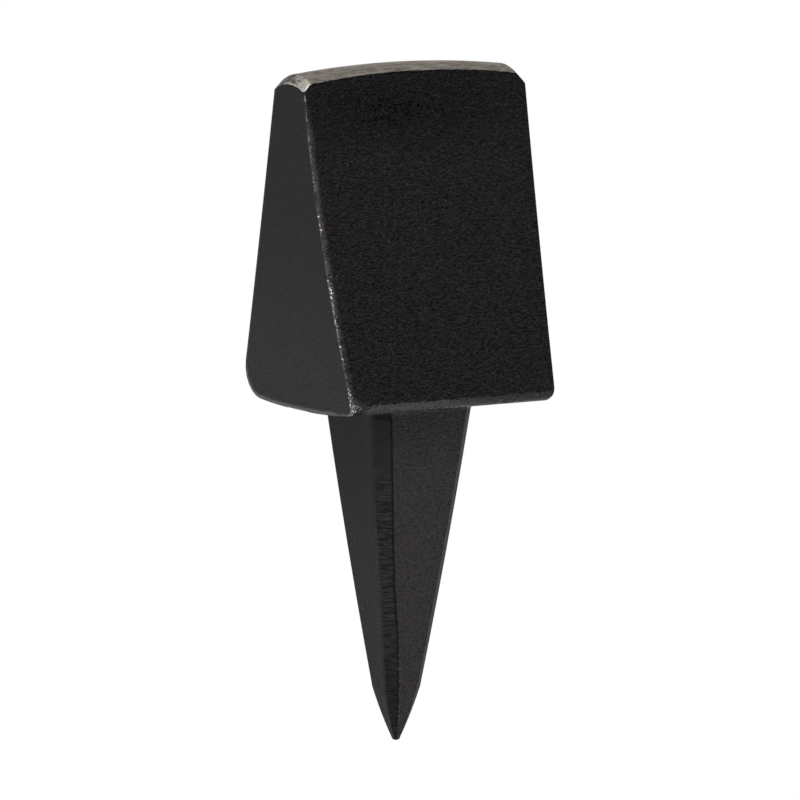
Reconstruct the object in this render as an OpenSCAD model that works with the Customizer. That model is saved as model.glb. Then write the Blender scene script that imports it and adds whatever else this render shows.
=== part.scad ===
// Scythe peening anvil: a wedge-shaped head with a long, narrow, crowned working face,
// on a tapered square spike that is driven into a hardwood block.
// Head and spike are one drop forging, so the part is one solid.
// The origin is on the spike's axis at the lowest line of the head's underside.
// X runs along the working face, Y across it, and Z points up out of the block.

/* [Working face] */
// Length of the working face between the two end faces
face_l = 60; // [50:1:75]
// Width of the working face between the two broad faces
face_w = 11.4; // [9:0.2:14]
// Radius of the crown along the face
crown_along_r = 240; // [150:1:400]
// Radius of the crown across the face
crown_across_r = 11; // [8:0.5:14]
// Distance of the crown's highest line from the middle, towards plus X
crown_shift = 1.4; // [0:0.1:4]
// Leg of the bevel that breaks the near end of the face, at minus X
near_bevel = 2.2; // [0.8:0.1:3.5]
// Leg of the bevel that breaks the far end of the face, at plus X
far_bevel = 2.6; // [0.8:0.1:3.5]
// Radius of both end bevels across the face
bevel_across_r = 18; // [12:0.5:30]

/* [Head] */
// Height of the crown above the underside
head_h = 79; // [65:1:95]
// Length of the head at its underside
base_l = 54.6; // [46:0.2:60]
// Thickness of the head at its underside, between the broad faces
base_w = 49; // [40:0.2:56]
// Depth to which each broad face is hollowed between face and base
flank_hollow = 1.3; // [0.3:0.1:2]
// Height by which each end face swells past a straight line
end_swell = 0.7; // [0.2:0.1:1.2]

/* [Underside] */
// Radius of the underside's rounding across the head
under_r = 190; // [100:5:400]
// Radius between the front broad face and the underside
front_foot_r = 2.1; // [1:0.1:6]
// Radius between the back broad face and the underside
back_foot_r = 6.5; // [1:0.1:8]
// Radius at the foot of the near end face, at minus X
near_foot_r = 0.5; // [0.3:0.1:4]
// Radius at the foot of the far end face, at plus X
far_foot_r = 5; // [0.5:0.1:6]

/* [Spike] */
// Length of the spike from the underside to the tip
spike_l = 79.4; // [60:0.5:110]
// Width across the flats of the spike at the underside
spike_w = 26.6; // [20:0.5:30]
// Width across the flats where the point begins
point_w = 10.1; // [7:0.1:12]
// Length of the steeper point
point_l = 12.7; // [8:0.1:20]
// Width across the flats of the blunt tip
tip_w = 1.3; // [0.6:0.1:3]
// Height by which each flat of the spike swells past a straight line
spike_swell = 0.3; // [0.1:0.05:0.5]
// Height by which each flat of the point swells past a straight line
point_swell = 0.2; // [0.1:0.05:0.4]
// Leg of the corner bevels at the underside
corner_bevel = 3.1; // [1.5:0.1:4]
// Leg of the corner bevels where the point begins
point_bevel = 2.6; // [1:0.1:3]
// Radius of the fillet between spike and underside
shoulder_r = 1.3; // [0.6:0.1:3]

/* [Hidden] */
$fn = 96;
// Extra length that a cutting shape runs past what it cuts
past = 2;
// Height to which the spike's stock runs up inside the head
spike_root = 8;
// Steps along a long shallow arc, and round an edge
long_steps = 16;
edge_steps = 6;
// Drop of the working face from the crown to its long edges
edge_drop = crown_across_r - sqrt(pow(crown_across_r, 2) - pow(face_w / 2, 2));
// Rise of the underside from its lowest line to the broad faces
under_rise = under_r - sqrt(pow(under_r, 2) - pow(base_w / 2, 2));
// Centre of the underside's arc in the end view
under_c = [0, under_r];
// Ends of a broad face in the end view, as [across, up]
flank_top = [face_w / 2, head_h - edge_drop];
flank_foot = [base_w / 2, under_rise];
// Ends of an end face in the side view, as [along, up]
end_top = [face_l / 2, head_h];
end_foot = [base_l / 2, 0];
// Half widths of the spike across its flats and across its corner bevels: at the underside, point and tip
flat_at = [spike_w, point_w, tip_w] / 2;
bevel_at = [corner_bevel, point_bevel, point_bevel * tip_w / point_w];
corner_at = [for (i = [0:2]) (2 * flat_at[i] - bevel_at[i]) / sqrt(2)];

// Radius of the arc that stands off its chord by a given height
function arc_r(a, b, rise) = (pow(norm(b - a), 2) / 4 + rise * rise) / (2 * rise);
// Unit vector a quarter turn to the left of the way from a to b
function left_of(a, b) = [a.y - b.y, b.x - a.x] / norm(b - a);
// Centre of the arc from a to b that stands off to the right of that way
function arc_centre(a, b, rise) = (a + b) / 2 + left_of(a, b) * (arc_r(a, b, rise) - rise);
// Direction of p seen from c, in degrees
function heading(c, p) = atan2(p.y - c.y, p.x - c.x);
// Points round the centre c from a to b, the short way
function round_points(c, a, b, steps) =
    let (from = heading(c, a), turn = (heading(c, b) - from + 540) % 360 - 180)
    [for (i = [0:steps]) c + norm(a - c) * [cos(from + turn * i / steps), sin(from + turn * i / steps)]];
// Where two circles meet, on the right of the way from one centre to the other
function meet(c1, r1, c2, r2) =
    let (d = norm(c2 - c1), along = (d * d + r1 * r1 - r2 * r2) / (2 * d))
    c1 + (c2 - c1) / d * along - left_of(c1, c2) * sqrt(r1 * r1 - along * along);
// Point on the circle round c with radius r, in the direction of p
function on_rim(c, r, p) = c + (p - c) / norm(p - c) * r;
// The same outline on the other side of the upright axis, in reverse order
function mirrored(points) = [for (i = [len(points) - 1:-1:0]) [-points[i].x, points[i].y]];

// The arc that hollows a broad face, as it is on the back
hollow_r = arc_r(flank_top, flank_foot, flank_hollow);
hollow_c = arc_centre(flank_top, flank_foot, flank_hollow);
// The arc that swells an end face, as it is on the far end
swell_r = arc_r(end_foot, end_top, end_swell);
swell_c = arc_centre(end_foot, end_top, end_swell);
// How far an end face lies from the middle at a given height
function end_x(z) = swell_c.x + sqrt(pow(swell_r, 2) - pow(z - swell_c.y, 2));
// Height of the crown's middle line at a given place along the face
function crown_z(x) = head_h - crown_along_r + sqrt(pow(crown_along_r, 2) - pow(x - crown_shift, 2));

// Half of the end view from the middle of the underside, round an edge radius, up a hollow broad face
function end_half(r) =
    let (
        c = meet(under_c, under_r - r, hollow_c, hollow_r + r),
        low = on_rim(under_c, under_r, c),
        high = on_rim(hollow_c, hollow_r, c)
    )
    concat(
        round_points(under_c, [0, 0], low, long_steps / 2),
        round_points(c, low, high, edge_steps),
        round_points(hollow_c, high, flank_top, long_steps),
        [flank_top + [0, edge_drop + past]]
    );

// End view of the head: a wedge with hollow flanks on a slightly rounded underside
module end_view() {
    polygon(concat(end_half(back_foot_r), mirrored(end_half(front_foot_r))));
}

// Half of the side view, round an edge radius at the foot and up a swelling end face
function side_half(r) =
    let (c = [end_x(r) - r, r], low = [c.x, 0], high = [end_x(r), r])
    concat(
        [low - [0, past]],
        round_points(c, low, high, edge_steps),
        round_points(swell_c, high, end_top, long_steps),
        [end_top + [0, past]]
    );

// Side view of the head: both end faces lean in a little and swell
module side_view() {
    polygon(concat(side_half(far_foot_r), mirrored(side_half(near_foot_r))));
}

// Everything below the working face: the crown's outline turned about an axis across the head
module under_the_crown() {
    shoulder = crown_along_r - crown_across_r * 0.7;
    translate([crown_shift, 0, head_h - crown_along_r]) rotate([90, 0, 0]) rotate_extrude() {
        translate([crown_along_r - crown_across_r, 0]) circle(crown_across_r);
        translate([0, -base_w]) square([shoulder, 2 * base_w]);
    }
}

// Everything below the bevel at one end of the working face, which slants down at 45 degrees
module under_the_bevel(side, leg) {
    x = side * (end_x(crown_z(side * face_l / 2)) - leg);
    translate([x, 0, crown_z(x)]) rotate([0, 45 * side, 0]) rotate([90, 0, 90])
        linear_extrude(4 * head_h, center = true) {
            translate([0, -bevel_across_r]) circle(bevel_across_r);
            translate([-base_w, -bevel_across_r - 3 * head_h]) square([2 * base_w, 3 * head_h]);
        }
}

module head() {
    intersection() {
        rotate([90, 0, 90]) linear_extrude(2 * face_l, center = true) end_view();
        rotate([90, 0, 0]) linear_extrude(2 * base_w, center = true) side_view();
        under_the_crown();
        under_the_bevel(-1, near_bevel);
        under_the_bevel(1, far_bevel);
    }
}

// Outline of the spike between one pair of opposite sides, with its fillets to the underside
module spike_view(half) {
    foot = [half[0], -shoulder_r];
    knee = [half[1], point_l - spike_l];
    fillet_c = foot + [shoulder_r, 0];
    tip = [half[2], -spike_l];
    side = concat(
        round_points(arc_centre(tip, knee, point_swell), tip, knee, edge_steps),
        round_points(arc_centre(knee, foot, spike_swell), knee, foot, edge_steps),
        round_points(fillet_c, foot, fillet_c + [0, shoulder_r], edge_steps),
        [fillet_c + [0, spike_root]]
    );
    polygon(concat(side, mirrored(side)));
}

module spike() {
    intersection_for (turn = [0, 45, 90, 135])
        rotate([90, 0, turn]) linear_extrude(3 * spike_w, center = true)
            spike_view(turn % 90 == 0 ? flat_at : corner_at);
}

module anvil() {
    color("#232223") union() {
        head();
        spike();
    }
}

anvil();
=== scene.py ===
# Scythe peening anvil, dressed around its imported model: one drop forging, black lacquer, bare ground face.
import math
import bpy
import bmesh
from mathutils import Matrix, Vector, noise
from mathutils.bvhtree import BVHTree
from mathutils.kdtree import KDTree


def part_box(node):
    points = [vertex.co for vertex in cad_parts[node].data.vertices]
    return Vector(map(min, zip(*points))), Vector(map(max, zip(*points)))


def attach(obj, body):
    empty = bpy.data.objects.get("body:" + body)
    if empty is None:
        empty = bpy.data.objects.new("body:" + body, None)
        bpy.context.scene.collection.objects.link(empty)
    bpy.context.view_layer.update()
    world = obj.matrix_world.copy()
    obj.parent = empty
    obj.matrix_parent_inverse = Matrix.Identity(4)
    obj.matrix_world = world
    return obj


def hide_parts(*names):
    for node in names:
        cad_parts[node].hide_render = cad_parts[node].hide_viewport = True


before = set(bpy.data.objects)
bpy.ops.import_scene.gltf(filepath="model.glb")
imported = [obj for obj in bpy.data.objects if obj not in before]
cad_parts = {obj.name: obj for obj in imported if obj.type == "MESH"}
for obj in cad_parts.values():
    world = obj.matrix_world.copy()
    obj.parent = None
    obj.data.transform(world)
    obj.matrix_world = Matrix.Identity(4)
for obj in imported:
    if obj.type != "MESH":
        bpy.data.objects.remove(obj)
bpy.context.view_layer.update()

mm = 0.001


def hexToLinear(code):
    # sRGB hex to the linear colour a shader wants
    channels = [int(code[i:i + 2], 16) / 255 for i in (1, 3, 5)]
    return [c / 12.92 if c <= 0.04045 else ((c + 0.055) / 1.055) ** 2.4 for c in channels] + [1.0]


def perMetre(sizeInMm):
    # texture scale that makes one cell of a pattern this many millimetres wide
    return 1 / (sizeInMm * mm)


def addNode(tree, kind, inputs=None, out=0, **settings):
    # one node with its settings; an input is a value, or the socket that feeds it; gives back one output
    node = tree.nodes.new("ShaderNode" + kind)
    for name, value in settings.items():
        setattr(node, name, value)
    for name, value in (inputs or {}).items():
        if isinstance(value, bpy.types.NodeSocket):
            tree.links.new(value, node.inputs[name])
        else:
            node.inputs[name].default_value = value
    return node.outputs[out]


def smooth(low, high, value):
    # 0 at low and 1 at high, eased between
    t = min(max((value - low) / (high - low), 0.0), 1.0)
    return t * t * (3 - 2 * t)


def between(knots, place):
    # value at a place on a line through knots, which are (place, value) in rising order of place
    for (a, low), (b, high) in zip(knots, knots[1:]):
        if place < b:
            return low + (high - low) * min(max((place - a) / (b - a), 0.0), 1.0)
    return knots[-1][1]


# camera, at the photograph's viewing angle

cameraSettings = {
    "azimuth": 32.36,       # degrees, from square on to the front broad face towards the near end
    "elevation": 7.94,      # degrees above the level of the underside
    "roll": 0.43,           # degrees, the picture leans this much
    "distance": 1500 * mm,
    "lens": 291.9,          # mm
    "sensor": 36,           # mm
    "clipEnd": 20,          # metres
    "aimRight": 0.38 * mm,  # point aimed at, beside the origin and above it
    "aimUp": 0.50 * mm,
}


def makeCamera(s):
    a, e, r = (math.radians(s[k]) for k in ("azimuth", "elevation", "roll"))
    ahead = Vector((math.sin(a) * math.cos(e), math.cos(a) * math.cos(e), -math.sin(e)))
    level = Vector((math.cos(a), -math.sin(a), 0))
    upright = level.cross(ahead)
    right = level * math.cos(r) + upright * math.sin(r)
    up = upright * math.cos(r) - level * math.sin(r)
    data = bpy.data.cameras.new("camera")
    data.lens = s["lens"]
    data.sensor_width = s["sensor"]
    data.clip_end = s["clipEnd"]
    camera = bpy.data.objects.new("camera", data)
    bpy.context.collection.objects.link(camera)
    turn = camera.matrix_world.copy()
    for i, axis in enumerate((right, up, -ahead)):
        turn.col[i][:3] = axis
    turn.translation = right * s["aimRight"] + up * s["aimUp"] - ahead * s["distance"]
    camera.matrix_world = turn
    bpy.context.scene.camera = camera
    print("camera set")


makeCamera(cameraSettings)


# the forging

forgingSettings = {
    "voxel": 0.5 * mm,         # grid of the mesh that takes the forged skin
    "arrisAngle": 25,          # degrees between two faces of the CAD model, above which they meet in an arris
    "arrisStep": 0.1 * mm,     # between the points that stand for an arris
    "arrisReach": 0.28 * mm,   # grid points this near to an arris move onto it
    "spikeArrisTop": -2 * mm,  # arrises of the spike lie below this
    "cornerFacing": 0.5,       # least share, along and across, of the two normals' sum at its near corner
    "nearEnd": -20 * mm,       # the near arris lies beyond this, along X
    "squareFacing": 0.9,       # least share across of the normal of the broad face beside it
    "merge": 0.06 * mm,
    "cadMerge": 0.002 * mm,
    "groundTop": 60 * mm,      # above this, faces that look up are the ground working face and its bevels
    "groundFacing": 0.6,       # least upward share of their normal
    "spikeTop": -0.6,          # mm; below this and within spikeHalf of the axis a point is on the spike
    "spikeHalf": 14.5,         # mm
    "bandFacing": 0.45,        # least share, both along and across, of the normal of the spike's near corner
    "wavePattern": (9, Vector((0, 0, 0))),  # unevenness of the forged skin: its cell in mm, and its shift
    "pebblePattern": (2.1, Vector((7, 3, 5))),
    "chipPattern": (1.4, Vector((1, 9, 4))),
    "broadWave": 0.10 * mm,    # how deep both lie on the broad faces
    "broadPebble": 0.07 * mm,
    "spikeWave": 0.04 * mm,
    "endWave": 0.02 * mm,
    "bandDepth": 0.16 * mm,    # how far the near corner band of the spike lies back
    # its left and right lines: (height, mm in from the arris)
    "bandLeft": ((-74, 0.1), (-66, 0.5), (-42, 0.4), (-32, 0.2), (-20, -0.3), (-8, -0.7)),
    "bandRight": ((-66, 0.0), (-52, -0.1), (-42, 0.4), (-30, 0.4), (-8, 0.0)),
    "bandSoftness": ((-55, 1.0), (-30, 1.3), (-10, 3.0)),  # of its left line
    "bandRoundWidth": 1.6,     # mm, to which its left arris is rounded off towards the head
    "bandRoundDepth": 0.30 * mm,
    # how far the near arris is rubbed and chipped: (height, 0 to 1)
    "arrisWear": ((3, 0.85), (6.5, 0.85), (8, 0.5), (20, 0.55), (22.5, 0.95), (32.5, 0.95), (34, 0.15),
                  (40, 0.15), (42, 0.6), (46, 0.6), (48, 0.15), (57, 0.2), (60, 0.45), (63.5, 0.5),
                  (66, 0.35), (69, 0.8), (70, 1.0)),
    "arrisSpread": ((4, 0.3), (7, 1.0)),  # (height, share that distances from it count), broader at the foot
    "endSideSpread": 2,        # the same on the end face, where the wear is narrower than on the broad face
    "endSideFacing": 0.75,
    "chipDepth": 0.22 * mm,    # deepest chip in the near arris
    "underRadius": 190,        # mm, rounding of the underside across the head
    "backFoot": (15.9, 7.2, 6.5),  # mm, rounding of the back foot: its centre, across and up, and radius
    "rimRub": 0.85,            # how bare the lower rim of the near end face is rubbed
    "dentPlace": Vector((14.1, -23.4, 1.9)) * mm,  # dent in the front foot
    "dentWidth": 1.3 * mm,
    "dentDepth": 0.45 * mm,
    # shares of the pebble and of the specks
    "spikePebble": 0.7,
    "sidePebble": 0.3,
    "nearSpecks": 0.5,
    "topSpecks": 0.5,
    "lowScuff": 0.4,           # by how much the scuffed strip fades towards the foot
    # each ramp is 0 at its first value and 1 at its second
    "ramps": {
        # by the share of the normal that points that way
        "broadFacing": (0.6, 0.85),
        "frontFacing": (0.3, 0.6),
        "endFacing": (0.7, 0.9),
        "footDown": (0.25, -0.1),
        "footSide": (0.5, 0.3),
        "rimDown": (0.1, 0.4),
        "rimEnd": (0.5, 0.8),
        "facetFacing": (-0.2, -0.4),
        "spikeFacing": (0.5, 0.65),
        "sideSpecksFacing": (-0.6, -0.8),
        # by height, in mm
        "footHeight": (6, 4),
        "rimHeight": (9, 6),
        "scuffTop": (72, 62),
        "scuffLow": (25, 10),
        "chipHeight": (66, 30),
        "endSpecksHeight": (45, 15),
        "topSpecksHeight": (54, 60),
        "bandTop": (-0.5, -4),
        "bandRoundHeight": (-38, -14),
        "facetHeight": (-22, -38),
        "sidePebbleHeight": (-15, -35),
        "sideSpecksHeight": (-10, -35),
        "lineSpecksHeight": (-56, -60),
        # by place along or across the head, in mm
        "footStart": (-25, -21),
        "rimStart": (-20, -24),
        "rimAcross": (-19, -14),
        "topSpecksAlong": (8, -4),
        # by distance from an arris or a line, in mm
        "edgeFade": (0.1, 1.2),
        "rimInner": (0, 0.4),
        "rimOuter": (1.0, 0.5),
        "facetEdge": (-0.5, -0.1),
        "bandRightEdge": (0, 0.4),
        "bandLeftEdge": (0, 1.6),
        "chipAway": (0.8, 0),
        "nearSpecksAway": (9, 2),
        "edgeSpecksAway": (0.8, 0.2),
        "lineSpecksAway": (0.6, 0.2),
        # by the value of its noise
        "chipNoise": (0.25, 0.6),
    },
    "masks": (
        "groundLine",    # mm inside the edge of the ground face
        "nearArris",     # mm from the near arris, as spread by wear
        "wear",          # of the near arris
        "facet",         # strip left of the spike's band
        "bandLeft",      # mm inside the band's left line, softened
        "bandRight",     # mm inside its right line
        "pebble",        # strength of the pebbled skin
        "endFace",
        "foot",          # scuffed foot of the broad faces
        "rim",           # lower rim of the near end face
        "spike",
        "spikeBroad",    # broad sides of the spike
        "farBevel",      # bevels at its far corners
        "scuff",         # strip beside the near arris
        "specks",
        "lineSpecks",    # specks on the band's right line, near the tip
    ),
}


def copyOfNode(name, s):
    # merged copy of a CAD node, to be shaped further
    bm = bmesh.new()
    bm.from_mesh(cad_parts[name].data)
    bmesh.ops.remove_doubles(bm, verts=bm.verts, dist=s["cadMerge"])
    bm.normal_update()
    return bm


def isGround(face, s):
    return face.normal.z > s["groundFacing"] and face.calc_center_median().z > s["groundTop"]


def kindOfArris(edge, s):
    # which of the forging's arrises a sharp edge of the CAD model belongs to
    middle = (edge.verts[0].co + edge.verts[1].co) / 2
    normals = [f.normal for f in edge.link_faces]
    ground = [isGround(f, s) for f in edge.link_faces]
    if all(ground):
        return "crest"
    if any(ground):
        return "ground"
    if middle.z < s["spikeArrisTop"]:
        turn = normals[0] + normals[1]
        if turn.x < -s["cornerFacing"] and turn.y < -s["cornerFacing"]:
            return "bandRight" if abs(turn.y) > abs(turn.x) else "bandLeft"
        return "spike"
    if middle.x < s["nearEnd"] and middle.y < 0 and max(abs(n.y) for n in normals) > s["squareFacing"]:
        return "near"
    return "head"


def findArrises(bm, s):
    # closely spaced points along every arris, by kind
    found = {kind: [] for kind in ("crest", "ground", "bandRight", "bandLeft", "spike", "near", "head")}
    for edge in bm.edges:
        if len(edge.link_faces) == 2 and edge.calc_face_angle() > math.radians(s["arrisAngle"]):
            a, b = (v.co for v in edge.verts)
            steps = max(1, math.ceil((b - a).length / s["arrisStep"]))
            found[kindOfArris(edge, s)] += [a.lerp(b, i / steps) for i in range(steps + 1)]
    trees = {}
    for kind, points in found.items():
        tree = KDTree(len(points))
        for i, p in enumerate(points):
            tree.insert(p, i)
        tree.balance()
        trees[kind] = tree
        print("arris", kind, "has", len(points), "points")
    return trees


def nearestArris(arrises, place):
    # nearest point on any arris, and how far off it is
    nearest = min((tree.find(place) for tree in arrises.values()), key=lambda hit: hit[2])
    return nearest[0], nearest[2]


def gridObject(bm, s):
    # object with an even grid over the CAD model
    mesh = bpy.data.meshes.new("forging")
    bm.to_mesh(mesh)
    forging = bpy.data.objects.new("forging", mesh)
    bpy.context.collection.objects.link(forging)
    remesh = forging.modifiers.new("grid", "REMESH")
    remesh.mode = "VOXEL"
    remesh.voxel_size = s["voxel"]
    graph = bpy.context.evaluated_depsgraph_get()
    gridded = bpy.data.meshes.new_from_object(forging.evaluated_get(graph))
    forging.modifiers.clear()
    forging.data = gridded
    return forging


def layOnCad(bm, cadSurface, arrises, s):
    # moves the grid onto the CAD surface, and its nearest points onto the arrises, which stay crisp
    sharp = math.radians(s["arrisAngle"])
    facing = {}    # way the CAD surface faces at each point, and none for a point on an arris
    for v in bm.verts:
        place, normal = cadSurface.find_nearest(v.co)[:2]
        onArris, gap = nearestArris(arrises, place)
        v.co = onArris if gap < s["arrisReach"] else place
        facing[v] = None if gap < s["arrisReach"] else normal
    for edge in bm.edges:
        a, b = edge.verts
        if facing[a] and facing[b] and facing[a].angle(facing[b]) > sharp:
            hits = [(nearestArris(arrises, v.co), v) for v in (a, b)]
            (onArris, gap), v = min(hits, key=lambda hit: hit[0][1])
            if gap < s["voxel"]:
                v.co = onArris
                facing[v] = None
    for face in list(bm.faces):
        # a four-sided face that an arris crosses from corner to corner is split along it
        corners = [v for v in face.verts if facing[v] is None]
        if len(face.verts) == 4 and len(corners) == 2:
            if not any(corners[1] in edge.verts for edge in corners[0].link_edges):
                bmesh.utils.face_split(face, corners[0], corners[1])
    bmesh.ops.remove_doubles(bm, verts=bm.verts, dist=s["merge"])
    bmesh.ops.recalc_face_normals(bm, faces=bm.faces)
    bm.normal_update()


def regionAt(p, normal, onGround, s):
    # which part of the forging a point is on
    if onGround:
        return "ground"
    if p.z < s["spikeTop"] and max(abs(p.x), abs(p.y)) < s["spikeHalf"]:
        return "band" if normal.x < -s["bandFacing"] and normal.y < -s["bandFacing"] else "spike"
    return "head"


def insideRim(p, s):
    # mm from the lower outline of an end face, up it
    across, up, radius = s["backFoot"]
    if p.y > across:
        return radius - math.hypot(p.y - across, min(p.z - up, 0))
    return p.z - s["underRadius"] + math.sqrt(s["underRadius"] ** 2 - p.y ** 2)


def rubbedRim(p, normal, s):
    # thin line rubbed bare just inside the lower outline of the near end face
    ramp = s["ramps"]
    rubbed = smooth(*ramp["rimInner"], insideRim(p, s)) * smooth(*ramp["rimOuter"], insideRim(p, s))
    rubbed *= smooth(*ramp["endFacing"], -normal.x) * smooth(*ramp["rimHeight"], p.z)
    return rubbed * smooth(*ramp["rimAcross"], p.y)


def broadShare(normal, region, s):
    # 1 on the broad faces of the head
    return (region == "head") * smooth(*s["ramps"]["broadFacing"], abs(normal.y))


def masksAt(p, normal, away, region, s):
    # what the skin and its lacquer read at a point
    ramp = s["ramps"]
    mask = {}
    onHead = region == "head"
    mask["groundLine"] = (1 if region == "ground" else -1) * away["ground"]
    mask["nearArris"] = away["near"] * between(s["arrisSpread"], p.z)
    mask["nearArris"] *= s["endSideSpread"] if normal.x < -s["endSideFacing"] else 1
    mask["wear"] = between(s["arrisWear"], p.z)
    mask["endFace"] = onHead * smooth(*ramp["endFacing"], abs(normal.x))
    mask["foot"] = onHead * smooth(*ramp["footDown"], normal.z) * smooth(*ramp["footHeight"], p.z)
    mask["foot"] *= smooth(*ramp["footSide"], abs(normal.x)) * smooth(*ramp["footStart"], p.x)
    rim = smooth(*ramp["rimDown"], -normal.z) * smooth(*ramp["rimEnd"], -normal.x)
    rim *= smooth(*ramp["rimStart"], p.x)
    mask["rim"] = onHead * max(rim, s["rimRub"] * rubbedRim(p, normal, s))
    front = onHead * smooth(*ramp["frontFacing"], -normal.y)
    mask["scuff"] = front * smooth(*ramp["scuffTop"], p.z)
    mask["scuff"] *= 1 - s["lowScuff"] * smooth(*ramp["scuffLow"], p.z)

    onSpike = region in ("spike", "band")
    offBand = region != "band"
    fromLeft = (1 if normal.y < -s["bandFacing"] else -1) * away["bandLeft"]
    fromRight = (1 if normal.x < -s["bandFacing"] else -1) * away["bandRight"]
    mask["bandLeft"] = (fromLeft - between(s["bandLeft"], p.z)) / between(s["bandSoftness"], p.z)
    mask["bandRight"] = fromRight - between(s["bandRight"], p.z)
    mask["facet"] = onSpike * smooth(*ramp["facetEdge"], fromLeft) * smooth(*ramp["facetFacing"], normal.x)
    mask["facet"] *= smooth(*ramp["facetHeight"], p.z)
    mask["spike"] = float(onSpike)
    towardsBroad = onSpike * smooth(*ramp["spikeFacing"], abs(normal.y))
    mask["spikeBroad"] = offBand * towardsBroad
    mask["farBevel"] = towardsBroad * smooth(*ramp["spikeFacing"], normal.x)

    mask["pebble"] = max(broadShare(normal, region, s), mask["foot"]) + s["spikePebble"] * mask["spikeBroad"]
    spikeSide = onSpike * offBand * (1 - mask["spikeBroad"])
    mask["pebble"] += s["sidePebble"] * spikeSide * smooth(*ramp["sidePebbleHeight"], p.z)
    mask["specks"] = mask["endFace"] * smooth(*ramp["endSpecksHeight"], p.z)
    leftSide = onSpike * smooth(*ramp["sideSpecksFacing"], normal.x)
    mask["specks"] += leftSide * smooth(*ramp["sideSpecksHeight"], p.z)
    byNear = s["nearSpecks"] * smooth(*ramp["nearSpecksAway"], away["near"])
    mask["specks"] += front * (byNear + smooth(*ramp["edgeSpecksAway"], away["head"]))
    byTop = smooth(*ramp["topSpecksHeight"], p.z) * smooth(*ramp["topSpecksAlong"], p.x)
    mask["specks"] += s["topSpecks"] * front * byTop
    mask["lineSpecks"] = onSpike * smooth(*ramp["lineSpecksHeight"], p.z)
    mask["lineSpecks"] *= smooth(*ramp["lineSpecksAway"], abs(mask["bandRight"]))
    return mask


def noiseAt(p, pattern):
    cell, shift = pattern
    return noise.noise(p / cell + shift)


def pushAt(place, normal, away, region, mask, s):
    # how far the forged skin stands off the CAD surface at a point, which is inwards nearly everywhere
    ramp = s["ramps"]
    p = place / mm
    fade = smooth(*ramp["edgeFade"], min(away.values()))
    wave = noiseAt(p, s["wavePattern"]) - 1
    pebble = noiseAt(p, s["pebblePattern"]) - 1
    broad = broadShare(normal, region, s) * (1 - mask["foot"])
    push = fade * broad * (wave * s["broadWave"] + pebble * s["broadPebble"]) / 2
    push += fade * mask["endFace"] * wave * s["endWave"] / 2
    push += fade * mask["spike"] * (wave + pebble) * s["spikeWave"] / 4
    if region == "band":
        inBand = smooth(*ramp["bandRightEdge"], mask["bandRight"])
        inBand *= smooth(*ramp["bandLeftEdge"], mask["bandLeft"])
        push -= s["bandDepth"] * inBand * smooth(*ramp["bandTop"], p.z)
    if region in ("spike", "band"):
        rounding = max(1 - away["bandLeft"] / s["bandRoundWidth"], 0) ** 2
        push -= s["bandRoundDepth"] * rounding * smooth(*ramp["bandRoundHeight"], p.z)
    chip = smooth(*ramp["chipNoise"], noiseAt(p, s["chipPattern"])) * smooth(*ramp["chipHeight"], p.z)
    push -= s["chipDepth"] * chip * smooth(*ramp["chipAway"], away["near"])
    dent = (place - s["dentPlace"]).length / s["dentWidth"]
    return push - s["dentDepth"] * math.exp(-2 * dent * dent)


def makeForging(s):
    cad = copyOfNode("anvil", s)
    cad.faces.ensure_lookup_table()
    cadSurface = BVHTree.FromBMesh(cad)
    groundFaces = [isGround(f, s) for f in cad.faces]
    arrises = findArrises(cad, s)
    forging = gridObject(cad, s)
    cad.free()
    bm = bmesh.new()
    bm.from_mesh(forging.data)
    layOnCad(bm, cadSurface, arrises, s)

    layers = {name: bm.verts.layers.float.new(name) for name in s["masks"]}
    moves = {}
    for v in bm.verts:
        p = v.co / mm
        onGround = groundFaces[cadSurface.find_nearest(v.co)[2]]
        region = regionAt(p, v.normal, onGround, s)
        away = {kind: tree.find(v.co)[2] / mm for kind, tree in arrises.items()}
        mask = masksAt(p, v.normal, away, region, s)
        for name, value in mask.items():
            v[layers[name]] = value
        moves[v] = v.normal * pushAt(v.co, v.normal, away, region, mask, s)
    for v, move in moves.items():
        v.co += move
    for f in bm.faces:
        f.smooth = True
    print("forging has", len(bm.verts), "vertices and", sum(len(f.verts) - 2 for f in bm.faces), "triangles")
    bm.to_mesh(forging.data)
    bm.free()
    return forging


forging = makeForging(forgingSettings)
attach(forging, "root")
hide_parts("anvil")


# materials

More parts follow.
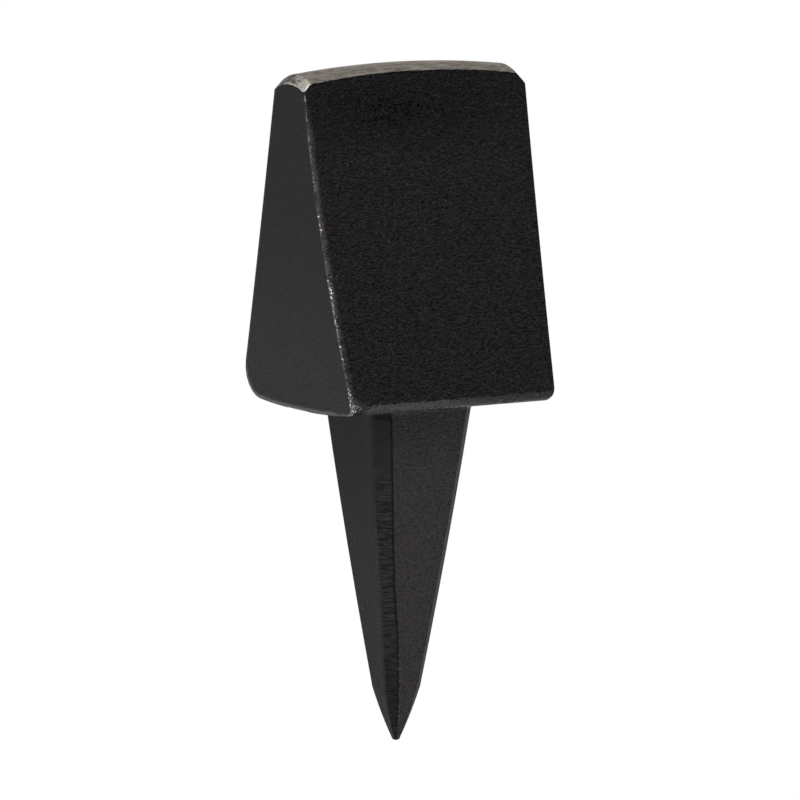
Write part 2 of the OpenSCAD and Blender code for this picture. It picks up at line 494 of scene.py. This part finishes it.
lacquerSettings = {
    "forgedBlack": hexToLinear("#030203"),     # black lacquer over the forged broad faces
    "forgedWorn": hexToLinear("#241f20"),
    "satinBlack": hexToLinear("#0e0a0b"),      # the same lacquer over the smoother end faces
    "satinPale": hexToLinear("#1c1918"),
    "sideShadeUnderHead": hexToLinear("#0b0609"),       # painted shade on the end sides of the spike, just under the head
    "facetPaintedLight": hexToLinear("#2a2827"),       # the strip left of the spike's band, painted lighter so that it reads as lit like the end side beside it
    "spikeBlack": hexToLinear("#171415"),      # near corner band of the spike
    "spikeGrey": hexToLinear("#2f2c2d"),       # broad sides of the spike, where the lacquer is thin
    "footWorn": hexToLinear("#464345"),        # scuffed foot of the broad faces, towards the near end
    "footDull": hexToLinear("#302d2e"),        # and towards the far one
    "scuffed": hexToLinear("#464242"),
    "speckPale": hexToLinear("#6d6864"),
    "hollowBlack": hexToLinear("#000000"),     # painted shade: black in the pits, the hollows between the strokes and the band's right-hand line
    "bareSteel": hexToLinear("#f0e7dc"),       # ground working face
    "bareSteelDark": hexToLinear("#7c7167"),
    "bevelSteelPale": hexToLinear("#fff8ee"),      # the near bevel, pale tone; a painted highlight makes it brightest at its front corner
    "bevelSteelDark": hexToLinear("#7b726b"),
    "arrisSteel": hexToLinear("#7e7c79"),      # the arrises, rubbed bare and dull
    "chipSteel": hexToLinear("#f2f1ef"),       # chips in them
    "specular": 0.14,            # the lacquer is thin and dull, so it mirrors less than a gloss one
    "broadRough": 0.25,
    "endRough": 0.50,
    "spikeSideRough": 0.54,
    "spikeRough": 0.50,
    "farBevelRough": 0.62,
    "steelRough": 0.45,
    # each pattern is a noise: cell along X, Y and Z in mm, detail, roughness, distortion
    "patterns": {
        "strokes": ((0.95, 0.95, 0.46), 1.0, 0.5, 0.4),  # scale of the forging, seen through the lacquer
        "grain": ((0.5, 0.5, 0.42), 1.0, 0.5, 0.0),      # its grit, drawn coarser than the real one to show
        "hollows": ((0.8, 0.8, 0.45), 1.0, 0.5, 0.4),    # between the strokes
        "endLines": ((2.4, 2.4, 0.36), 1.0, 0.5, 0.0),   # level lines of the trimmed end faces
        "brush": ((5, 0.3, 0.3), 5.0, 0.8, 0.0),         # grinding lines, also coarser than the real ones
        "crossBrush": ((0.5, 2.5, 0.5), 3.0, 0.6, 0.5),  # the same across the near bevel
        "ridges": ((2.6, 2.6, 0.36), 1.0, 0.5, 0.3),     # washboard on the spike's near corner
        "ragged": ((1.2, 1.2, 1.2), 3.0, 0.6, 0.0),      # teeth of an edge of the lacquer
        "rub": ((0.9, 0.9, 2.2), 3.0, 0.65, 0.0),        # patches of wear along the near arris
        "chips": ((0.45, 0.45, 0.6), 2.0, 0.6, 0.0),
        "pits": ((0.8, 0.8, 0.5), 1.0, 0.5, 0.8),
    },
    "endLineTilt": 0.117,        # radians, by which the lines rise towards the front
    "speckCell": 2.4,            # mm, as all lengths below
    "speckRadius": 0.08,         # of a cell, at the largest
    "speckLoss": 0.048,          # taken off the radius of every speck, so that only some cells show one
    "strokeHeight": 0.75,
    "grainHeight": 0.12,
    "endLineHeight": 0.08,
    "brushHeight": 0.055,
    "ridgeHeight": 0.30,
    "pitDepth": 0.15,
    "coatHeight": 0.03,          # step down from lacquer to bare steel
    "raggedDepth": 0.35,         # teeth of the lacquer's edge along the ground face
    "raggedBlur": 0.06,
    "wearWidth": 0.25,           # by which wear widens the bare line of the near arris
    "rimBare": 0.6,              # how bare the lower rim is at most
    "pitCentre": (-5.0, -7.6, 68.8),  # cluster of scale pits near the top of the front broad face
    "pitSpread": (27, 12, 9),    # its reach along X, Y and Z
    "headRidgeTone": 1.7,        # tone of the band near the head, where its ridges fade
    "footTeeth": 2.4,            # how ragged the edge of the scuffed foot is
    "nearBevelEnd": -27.9,       # the near bevel lies beyond this, along X
    "nearBevelBlur": 0.1,
    # each ramp runs between its sockets 1 and 2, and gives there what 3 and 4 say, or else 0 and 1
    "ramps": {
        # near arris, by wear, noise, height and distance in mm
        "worn": {3: -0.08, 4: 0.06},
        "broken": {1: 0.46, 2: 0.6, 3: 0.1, 4: 1.0},
        "onLine": {1: 0.2, 2: -0.03},
        "byArris": {1: 1.1, 2: 0.1, 3: 0.0, 4: 0.16},
        "chip": {1: 0.75, 2: 0.79},
        "chipBelow": {1: 69 * mm, 2: 58 * mm},
        "chipWithin": {1: 1.2, 2: 0.9},
        "scuffWithin": {1: 1.9, 2: 0.6},
        "scuffPatches": {1: 0.35, 2: 0.6, 3: 0.3, 4: 1.0},
        # specks
        "speckEdge": {1: -0.01, 2: 0.03},
        "lineSpeck": {1: 0.58, 2: 0.64},
        "glint": {1: 0.66, 2: 0.76, 3: 0.0, 4: 0.18},
        # band of the spike, by distance from its lines, noise and height
        "bandLeftEdge": {1: -0.4, 2: 0.4},
        "bandRightEdge": {1: -0.08, 2: 0.08},
        "lineWobble": {1: 0.3, 2: 0.7, 3: -0.02, 4: 0.26},
        "shadowLine": {1: 0.45, 2: 0.05, 3: 0.0, 4: 0.4},
        "ridgeTone": {1: 0.38, 2: 0.62, 3: 0.05, 4: 2.2},
        "byHead": {1: -24 * mm, 2: -5 * mm},
        "ridgeFade": {3: 1.0, 4: 0.45},
        "tipTone": {1: -50 * mm, 2: -70 * mm, 3: 1.0, 4: 0.45},
        # painted shadow: the band goes black at its top, under the head
        "notchShadow": {1: -2.5 * mm, 2: -1.5 * mm, 3: 1.0, 4: 0.0},
        # pits and hollows
        "pitCluster": {1: 1.0, 2: 0.1, 3: -0.18, 4: 0.02},
        "pit": {1: 0.55, 2: 0.60},
        "hollow": {1: 0.46, 2: 0.32, 3: 0.0, 4: 0.4},
        # tones of the lacquer
        "strokeTone": {1: 0.30, 2: 0.80},
        "topTone": {1: 55 * mm, 2: 72 * mm, 3: 1.0, 4: 0.42},
        "pitTone": {1: 1.3, 2: 0.5, 3: 1.0, 4: 0.6},
        "endLow": {1: 50 * mm, 2: 0},
        "endLineTone": {1: 0.3, 2: 0.7, 3: 0.6, 4: 1.4},
        # painted shade under the head, on the spike's end sides
        "shadeUnderHead": {1: -2 * mm, 2: -50 * mm},
        "grainTone": {1: 0.35, 2: 0.65},
        "greyTone": {3: 0.75, 4: 1.35},
        "footEdge": {1: 1.5, 2: 1.8},
        "onFoot": {1: 0.02, 2: 0.3},
        "footRightward": {1: -12 * mm, 2: 14 * mm},
        "byBand": {1: -1.8, 2: 0.0},
        # ground steel
        "streak": {1: 0.36, 2: 0.62},
        # painted highlight: the near bevel grows paler towards its front corner
        "paintedBevelHighlight": {1: 5 * mm, 2: -6 * mm, 3: -0.2, 4: 0.15},
        "scratchAndHighlight": {1: 0.35, 2: 0.65},
    },
}

# settings that many nodes share
eased = {"interpolation_type": "SMOOTHSTEP"}
timesPlus = {"operation": "MULTIPLY_ADD"}
asColour = {"data_type": "RGBA", "out": "Result"}
asValue = {"data_type": "FLOAT", "out": "Result"}


def readSkin(tree, s, masks):
    # place on the object, masks and patterns, by name; each layer below adds to them what it makes
    place = addNode(tree, "TexCoord", out="Object")
    skin = {"place": place}
    for axis in "XYZ":
        skin[axis.lower()] = addNode(tree, "SeparateXYZ", {0: place}, out=axis)
    for name in masks:
        skin[name] = addNode(tree, "Attribute", out="Fac", attribute_name=name)
    tilted = addNode(tree, "Mapping", {"Vector": place, "Rotation": (s["endLineTilt"], 0, 0)})
    for name, (cell, detail, roughness, distortion) in s["patterns"].items():
        source = tilted if name == "endLines" else place
        cells = addNode(tree, "Mapping", {"Vector": source, "Scale": [perMetre(side) for side in cell]})
        skin[name] = addNode(tree, "TexNoise", {"Vector": cells, "Scale": 1.0, "Detail": detail,
                                                "Roughness": roughness, "Distortion": distortion})
    return skin


def addBareSteel(tree, s, skin):
    ramp = s["ramps"]
    # ground face up to a ragged edge
    depth = s["raggedDepth"]
    edge = addNode(tree, "Math", {0: skin["ragged"], 1: depth * 2, 2: skin["groundLine"]}, **timesPlus)
    ends = {1: depth - s["raggedBlur"], 2: depth + s["raggedBlur"]}
    ground = addNode(tree, "MapRange", {0: edge, **ends}, **eased)

    # near arris: a thin broken line rubbed bare, and chips beside it
    worn = addNode(tree, "MapRange", {0: skin["wear"], **ramp["worn"]})
    rubbed = addNode(tree, "Math", {0: skin["rub"], 1: worn}, operation="ADD")
    broken = addNode(tree, "MapRange", {0: rubbed, **ramp["broken"]}, **eased)
    away = addNode(tree, "Math", {0: skin["wear"], 1: -s["wearWidth"], 2: skin["nearArris"]}, **timesPlus)
    onLine = addNode(tree, "MapRange", {0: away, **ramp["onLine"]}, **eased)
    line = addNode(tree, "Math", {0: broken, 1: onLine}, operation="MULTIPLY")
    byArris = addNode(tree, "MapRange", {0: skin["nearArris"], **ramp["byArris"]})
    byArris = addNode(tree, "Math", {0: byArris, 1: worn}, operation="ADD")
    chipped = addNode(tree, "Math", {0: skin["chips"], 1: byArris}, operation="ADD")
    chip = addNode(tree, "MapRange", {0: chipped, **ramp["chip"]}, **eased)
    below = addNode(tree, "MapRange", {0: skin["z"], **ramp["chipBelow"]}, **eased)
    within = addNode(tree, "MapRange", {0: skin["nearArris"], **ramp["chipWithin"]}, **eased)
    chip = addNode(tree, "Math", {0: chip, 1: below}, operation="MULTIPLY")
    chip = addNode(tree, "Math", {0: chip, 1: within}, operation="MULTIPLY")
    nearBare = addNode(tree, "Math", {0: line, 1: chip}, operation="MAXIMUM")
    rim = addNode(tree, "Math", {0: skin["rim"], 1: s["rimBare"]}, operation="MULTIPLY")
    nearBare = addNode(tree, "Math", {0: nearBare, 1: rim}, operation="MAXIMUM")
    skin["ground"] = ground
    skin["chip"] = chip
    skin["bare"] = addNode(tree, "Math", {0: ground, 1: nearBare}, operation="MAXIMUM")

    # scuffed strip on the broad side of the near arris
    within = addNode(tree, "MapRange", {0: skin["nearArris"], **ramp["scuffWithin"]}, **eased)
    patchy = addNode(tree, "MapRange", {0: skin["rub"], **ramp["scuffPatches"]}, **eased)
    scuffed = addNode(tree, "Math", {0: within, 1: patchy}, operation="MULTIPLY")
    skin["scuffed"] = addNode(tree, "Math", {0: scuffed, 1: skin["scuff"]}, operation="MULTIPLY")


def addSpecks(tree, s, skin):
    # tiny pale specks: scattered ones, some on the band's line, and glints in the grit
    ramp = s["ramps"]
    cells = addNode(tree, "Mapping", {"Vector": skin["place"], "Scale": [perMetre(s["speckCell"])] * 3})
    away = addNode(tree, "TexVoronoi", {"Vector": cells, "Scale": 1.0}, out="Distance")
    pick = addNode(tree, "TexVoronoi", {"Vector": cells, "Scale": 1.0}, out="Color")
    pick = addNode(tree, "SeparateColor", {0: pick})
    growth = s["speckRadius"] + s["speckLoss"]
    size = addNode(tree, "Math", {0: pick, 1: growth, 2: -s["speckLoss"]}, **timesPlus)
    edge = addNode(tree, "Math", {0: size, 1: away}, operation="SUBTRACT")
    speck = addNode(tree, "MapRange", {0: edge, **ramp["speckEdge"]}, **eased)
    speck = addNode(tree, "Math", {0: speck, 1: skin["specks"]}, operation="MULTIPLY")
    lineSpeck = addNode(tree, "MapRange", {0: skin["chips"], **ramp["lineSpeck"]}, **eased)
    lineSpeck = addNode(tree, "Math", {0: lineSpeck, 1: skin["lineSpecks"]}, operation="MULTIPLY")
    speck = addNode(tree, "Math", {0: speck, 1: lineSpeck}, operation="MAXIMUM")
    glint = addNode(tree, "MapRange", {0: skin["grain"], **ramp["glint"]}, **eased)
    glint = addNode(tree, "Math", {0: glint, 1: skin["pebble"]}, operation="MULTIPLY")
    skin["speck"] = addNode(tree, "Math", {0: speck, 1: glint}, operation="MAXIMUM")


def addBand(tree, s, skin):
    # near corner band of the spike, with a painted shadow line along its right-hand edge
    ramp = s["ramps"]
    inLeft = addNode(tree, "MapRange", {0: skin["bandLeft"], **ramp["bandLeftEdge"]}, **eased)
    inRight = addNode(tree, "MapRange", {0: skin["bandRight"], **ramp["bandRightEdge"]}, **eased)
    skin["band"] = addNode(tree, "Math", {0: inLeft, 1: inRight}, operation="MULTIPLY")
    skin["byHead"] = addNode(tree, "MapRange", {0: skin["z"], **ramp["byHead"]}, **eased)
    wobble = addNode(tree, "MapRange", {0: skin["rub"], **ramp["lineWobble"]})
    fromLine = addNode(tree, "Math", {0: skin["bandRight"], 1: wobble}, operation="SUBTRACT")
    offLine = addNode(tree, "Math", {0: fromLine}, operation="ABSOLUTE")
    shadowLine = addNode(tree, "MapRange", {0: offLine, **ramp["shadowLine"]}, **eased)
    skin["shadowLine"] = addNode(tree, "Math", {0: shadowLine, 1: skin["spike"]}, operation="MULTIPLY")


def addHollows(tree, s, skin):
    # scale pits near the top, and the small hollows between the strokes, darkened as painted shade
    ramp = s["ramps"]
    centre = [c * mm for c in s["pitCentre"]]
    perReach = [1 / (reach * mm) for reach in s["pitSpread"]]
    away = addNode(tree, "VectorMath", {0: skin["place"], 1: centre}, operation="SUBTRACT")
    away = addNode(tree, "VectorMath", {0: away, 1: perReach}, operation="MULTIPLY")
    away = addNode(tree, "VectorMath", {0: away}, out="Value", operation="LENGTH")
    cluster = addNode(tree, "MapRange", {0: away, **ramp["pitCluster"]})
    pitted = addNode(tree, "Math", {0: skin["pits"], 1: cluster}, operation="ADD")
    pit = addNode(tree, "MapRange", {0: pitted, **ramp["pit"]}, **eased)
    hollow = addNode(tree, "MapRange", {0: skin["hollows"], **ramp["hollow"]}, **eased)
    hollow = addNode(tree, "Math", {0: hollow, 1: skin["pebble"]}, operation="MULTIPLY")
    hollow = addNode(tree, "Math", {0: hollow, 1: pit}, operation="MAXIMUM")
    skin["pitAway"] = away
    skin["pit"] = pit
    skin["hollow"] = addNode(tree, "Math", {0: hollow, 1: skin["shadowLine"]}, operation="MAXIMUM")


def headColour(tree, s, skin):
    ramp = s["ramps"]
    tone = addNode(tree, "MapRange", {0: skin["strokes"], **ramp["strokeTone"]})
    byTop = addNode(tree, "MapRange", {0: skin["z"], **ramp["topTone"]}, **eased)
    tone = addNode(tree, "Math", {0: tone, 1: byTop}, operation="MULTIPLY")
    byPits = addNode(tree, "MapRange", {0: skin["pitAway"], **ramp["pitTone"]}, **eased)
    tone = addNode(tree, "Math", {0: tone, 1: byPits}, operation="MULTIPLY")
    broad = addNode(tree, "Mix", {"Factor": tone, "A": s["forgedBlack"], "B": s["forgedWorn"]}, **asColour)
    low = addNode(tree, "MapRange", {0: skin["z"], **ramp["endLow"]}, **eased)
    end = addNode(tree, "Mix", {"Factor": low, "A": s["satinBlack"], "B": s["satinPale"]}, **asColour)
    lineTone = addNode(tree, "MapRange", {0: skin["endLines"], **ramp["endLineTone"]})
    end = addNode(tree, "VectorMath", {0: end, "Scale": lineTone}, operation="SCALE")
    return addNode(tree, "Mix", {"Factor": skin["endFace"], "A": broad, "B": end}, **asColour)


def spikeColour(tree, s, skin):
    ramp = s["ramps"]
    # painted shade: the end sides are darker just under the head and paler lower down
    down = addNode(tree, "MapRange", {0: skin["z"], **ramp["shadeUnderHead"]}, **eased)
    side = addNode(tree, "Mix", {"Factor": down, "A": s["sideShadeUnderHead"], "B": s["satinPale"]}, **asColour)
    # painted light: the strip left of the band takes a lighter tone, like the lit end side
    side = addNode(tree, "Mix", {"Factor": skin["facet"], "A": side, "B": s["facetPaintedLight"]}, **asColour)
    grainTone = addNode(tree, "MapRange", {0: skin["grain"], **ramp["grainTone"]}, **eased)
    greyTone = addNode(tree, "MapRange", {0: grainTone, **ramp["greyTone"]})
    broad = addNode(tree, "VectorMath", {0: s["spikeGrey"][:3], "Scale": greyTone}, operation="SCALE")
    colour = addNode(tree, "Mix", {"Factor": skin["spikeBroad"], "A": side, "B": broad}, **asColour)
    tone = addNode(tree, "MapRange", {0: skin["ridges"], **ramp["ridgeTone"]})
    tone = addNode(tree, "Mix", {"Factor": skin["byHead"], "A": tone, "B": s["headRidgeTone"]}, **asValue)
    byTip = addNode(tree, "MapRange", {0: skin["z"], **ramp["tipTone"]}, **eased)
    # painted shadow at the band's top, under the head
    notchShadowTone = addNode(tree, "MapRange", {0: skin["z"], **ramp["notchShadow"]}, **eased)
    tone = addNode(tree, "Math", {0: tone, 1: byTip}, operation="MULTIPLY")
    tone = addNode(tree, "Math", {0: tone, 1: notchShadowTone}, operation="MULTIPLY")
    band = addNode(tree, "VectorMath", {0: s["spikeBlack"][:3], "Scale": tone}, operation="SCALE")
    colour = addNode(tree, "Mix", {"Factor": skin["band"], "A": colour, "B": band}, **asColour)
    # painted shadow along the band's right-hand line
    return addNode(tree, "Mix", {"Factor": skin["shadowLine"], "A": colour, "B": s["hollowBlack"]}, **asColour)


def wearColour(tree, s, skin, colour):
    # the lacquer's colour, scuffed at the foot and beside the near arris, speckled, and black with painted
    # shade in the pits and hollows
    ramp = s["ramps"]
    edge = addNode(tree, "Math", {0: skin["ragged"], 1: s["footTeeth"], 2: skin["foot"]}, **timesPlus)
    foot = addNode(tree, "MapRange", {0: edge, **ramp["footEdge"]}, **eased)
    onFoot = addNode(tree, "MapRange", {0: skin["foot"], **ramp["onFoot"]}, **eased)
    foot = addNode(tree, "Math", {0: foot, 1: onFoot}, operation="MULTIPLY")
    right = addNode(tree, "MapRange", {0: skin["x"], **ramp["footRightward"]}, **eased)
    dull = addNode(tree, "Mix", {"Factor": right, "A": s["footWorn"], "B": s["footDull"]}, **asColour)
    colour = addNode(tree, "Mix", {"Factor": foot, "A": colour, "B": dull}, **asColour)
    colour = addNode(tree, "Mix", {"Factor": skin["scuffed"], "A": colour, "B": s["scuffed"]}, **asColour)
    colour = addNode(tree, "Mix", {"Factor": skin["speck"], "A": colour, "B": s["speckPale"]}, **asColour)
    return addNode(tree, "Mix", {"Factor": skin["hollow"], "A": colour, "B": s["hollowBlack"]}, **asColour)


def steelColour(tree, s, skin):
    # ground along the working face and across the near bevel, with a painted highlight towards the bevel's
    # front corner; dull on the arrises and bright in their chips
    ramp = s["ramps"]
    streak = addNode(tree, "MapRange", {0: skin["brush"], **ramp["streak"]}, **eased)
    steel = addNode(tree, "Mix", {"Factor": streak, "A": s["bareSteelDark"], "B": s["bareSteel"]}, **asColour)
    end, blur = s["nearBevelEnd"] * mm, s["nearBevelBlur"] * mm
    nearEnd = addNode(tree, "MapRange", {0: skin["x"], 1: end + blur, 2: end - blur}, **eased)
    # painted highlight: a paler tone mixed in towards the bevel's front corner, over its cross-grinding
    # scratches
    paintedBevelHighlight = addNode(tree, "MapRange", {0: skin["y"], **ramp["paintedBevelHighlight"]})
    scratchAndHighlight = addNode(tree, "Math", {0: skin["crossBrush"], 1: paintedBevelHighlight}, operation="ADD")
    scratchAndHighlight = addNode(tree, "MapRange", {0: scratchAndHighlight, **ramp["scratchAndHighlight"]}, **eased)
    bevelSteel = {"Factor": scratchAndHighlight, "A": s["bevelSteelDark"], "B": s["bevelSteelPale"]}
    bevelSteel = addNode(tree, "Mix", bevelSteel, **asColour)
    steel = addNode(tree, "Mix", {"Factor": nearEnd, "A": steel, "B": bevelSteel}, **asColour)
    arris = {"Factor": skin["chip"], "A": s["arrisSteel"], "B": s["chipSteel"]}
    arris = addNode(tree, "Mix", arris, **asColour)
    return addNode(tree, "Mix", {"Factor": skin["ground"], "A": arris, "B": steel}, **asColour)


def roughnessOf(tree, s, skin):
    rough = addNode(tree, "MapRange", {0: skin["endFace"], 3: s["broadRough"], 4: s["endRough"]})
    rough = addNode(tree, "Mix", {"Factor": skin["spike"], "A": rough, "B": s["spikeSideRough"]}, **asValue)
    byBand = addNode(tree, "MapRange", {0: skin["bandLeft"], **s["ramps"]["byBand"]}, **eased)
    byBand = addNode(tree, "Math", {0: byBand, 1: skin["spike"]}, operation="MULTIPLY")
    broad = addNode(tree, "Math", {0: skin["spikeBroad"], 1: byBand}, operation="MAXIMUM")
    rough = addNode(tree, "Mix", {"Factor": broad, "A": rough, "B": s["spikeRough"]}, **asValue)
    rough = addNode(tree, "Mix", {"Factor": skin["farBevel"], "A": rough, "B": s["farBevelRough"]}, **asValue)
    return addNode(tree, "Mix", {"Factor": skin["bare"], "A": rough, "B": s["steelRough"]}, **asValue)


def reliefOf(tree, s, skin):
    # height of the finish, in mm
    relief = addNode(tree, "Math", {0: skin["strokes"], 1: s["strokeHeight"]}, operation="MULTIPLY")
    relief = addNode(tree, "Math", {0: skin["grain"], 1: s["grainHeight"], 2: relief}, **timesPlus)
    relief = addNode(tree, "Math", {0: relief, 1: skin["pebble"]}, operation="MULTIPLY")
    lines = addNode(tree, "Math", {0: skin["endLines"], 1: skin["endFace"]}, operation="MULTIPLY")
    relief = addNode(tree, "Math", {0: lines, 1: s["endLineHeight"], 2: relief}, **timesPlus)
    washboard = addNode(tree, "Math", {0: skin["ridges"], 1: skin["band"]}, operation="MULTIPLY")
    sharpness = addNode(tree, "MapRange", {0: skin["byHead"], **s["ramps"]["ridgeFade"]})
    washboard = addNode(tree, "Math", {0: washboard, 1: sharpness}, operation="MULTIPLY")
    relief = addNode(tree, "Math", {0: washboard, 1: s["ridgeHeight"], 2: relief}, **timesPlus)
    relief = addNode(tree, "Math", {0: skin["pit"], 1: -s["pitDepth"], 2: relief}, **timesPlus)
    relief = addNode(tree, "Math", {0: skin["chip"], 1: -s["coatHeight"], 2: relief}, **timesPlus)
    brushed = addNode(tree, "Math", {0: skin["brush"], 1: s["brushHeight"], 2: -s["coatHeight"]}, **timesPlus)
    return addNode(tree, "Mix", {"Factor": skin["ground"], "A": relief, "B": brushed}, **asValue)


def makeLacquer(s, masks):
    # stoving lacquer on a drop forging: dull black, pebbled by the scale below it, rubbed bare at the arrises
    material = bpy.data.materials.new("lacqueredForging")
    material.use_nodes = True
    tree = material.node_tree
    shader = tree.nodes["Principled BSDF"]
    skin = readSkin(tree, s, masks)
    addBareSteel(tree, s, skin)
    addSpecks(tree, s, skin)
    addBand(tree, s, skin)
    addHollows(tree, s, skin)
    head = headColour(tree, s, skin)
    spike = spikeColour(tree, s, skin)
    colour = addNode(tree, "Mix", {"Factor": skin["spike"], "A": head, "B": spike}, **asColour)
    colour = wearColour(tree, s, skin, colour)
    steel = steelColour(tree, s, skin)
    colour = addNode(tree, "Mix", {"Factor": skin["bare"], "A": colour, "B": steel}, **asColour)
    tree.links.new(colour, shader.inputs["Base Color"])
    tree.links.new(roughnessOf(tree, s, skin), shader.inputs["Roughness"])
    # painted shade: a hollow is made a black metal too, which mirrors nothing
    mirrored = addNode(tree, "Math", {0: skin["bare"], 1: skin["hollow"]}, operation="MAXIMUM")
    tree.links.new(mirrored, shader.inputs["Metallic"])
    shader.inputs["Specular IOR Level"].default_value = s["specular"]
    bump = addNode(tree, "Bump", {"Height": reliefOf(tree, s, skin), "Distance": mm, "Strength": 1.0})
    tree.links.new(bump, shader.inputs["Normal"])
    print("lacquer has", len(tree.nodes), "nodes")
    return material


forging.data.materials.append(makeLacquer(lacquerSettings, forgingSettings["masks"]))


# floor and light

stageSettings = {
    "floorDrop": 300 * mm,  # how far the floor lies below the tip
    "floorHalf": 1200 * mm,
    "floorPaint": (0.8, 0.8, 0.8, 1),
    "white": (1, 1, 1, 1),
    "skyLow": 0.02,         # height of the direction below which the studio is white
    "skyHigh": 0.34,        # and above which it is at its dimmest
    "skyDim": 0.26,
    "keyPower": 15.0,
    "keySize": 700 * mm,
    "keyPlace": Vector((-900, -700, 800)) * mm,
}


def seenDirectly(tree):
    # 1 for rays from the camera, off glossy surfaces and through clear ones
    kinds = ("Is Camera Ray", "Is Glossy Ray", "Is Transmission Ray")
    camera, glossy, clear = (addNode(tree, "LightPath", out=kind) for kind in kinds)
    seen = addNode(tree, "Math", {0: camera, 1: glossy}, operation="MAXIMUM")
    return addNode(tree, "Math", {0: seen, 1: clear}, operation="MAXIMUM")


def makeFloor(s):
    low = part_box("anvil")[0].z - s["floorDrop"]
    bm = bmesh.new()
    bmesh.ops.create_grid(bm, x_segments=1, y_segments=1, size=s["floorHalf"])
    bmesh.ops.translate(bm, verts=bm.verts, vec=(0, 0, low))
    mesh = bpy.data.meshes.new("floor")
    bm.to_mesh(mesh)
    bm.free()
    floor = bpy.data.objects.new("floor", mesh)
    bpy.context.collection.objects.link(floor)
    material = bpy.data.materials.new("paleFloor")
    material.use_nodes = True
    tree = material.node_tree
    tree.nodes.remove(tree.nodes["Principled BSDF"])
    paint = addNode(tree, "BsdfDiffuse", {"Color": s["floorPaint"]})
    white = addNode(tree, "Emission", {"Color": s["white"], "Strength": 1.0})
    mixed = addNode(tree, "MixShader", {0: seenDirectly(tree), 1: paint, 2: white})
    tree.links.new(mixed, tree.nodes["Material Output"].inputs["Surface"])
    floor.data.materials.append(material)


def makeWorld(s):
    # white as far up as the camera looks, dimmer overhead; the same for every ray, so that steel shows it too
    world = bpy.data.worlds.new("studio")
    bpy.context.scene.world = world
    world.use_nodes = True
    tree = world.node_tree
    background = tree.nodes["Background"]
    height = addNode(tree, "SeparateXYZ", {0: addNode(tree, "TexCoord", out="Generated")}, out="Z")
    ends = {1: s["skyLow"], 2: s["skyHigh"], 3: 1.0, 4: s["skyDim"]}
    level = addNode(tree, "MapRange", {0: height, **ends}, **eased)
    tree.links.new(level, background.inputs["Color"])
    background.inputs["Strength"].default_value = 1.0


def makeLamp(name, place, size, power):
    data = bpy.data.lights.new(name, "AREA")
    data.shape = "DISK"
    data.size = size
    data.energy = power
    lamp = bpy.data.objects.new(name, data)
    lamp.location = place
    lamp.rotation_euler = (-place).to_track_quat("-Z", "Y").to_euler()
    bpy.context.collection.objects.link(lamp)


makeFloor(stageSettings)
makeWorld(stageSettings)
makeLamp("keyLamp", stageSettings["keyPlace"], stageSettings["keySize"], stageSettings["keyPower"])
bpy.context.scene.view_settings.view_transform = "Standard"
print("stage set")
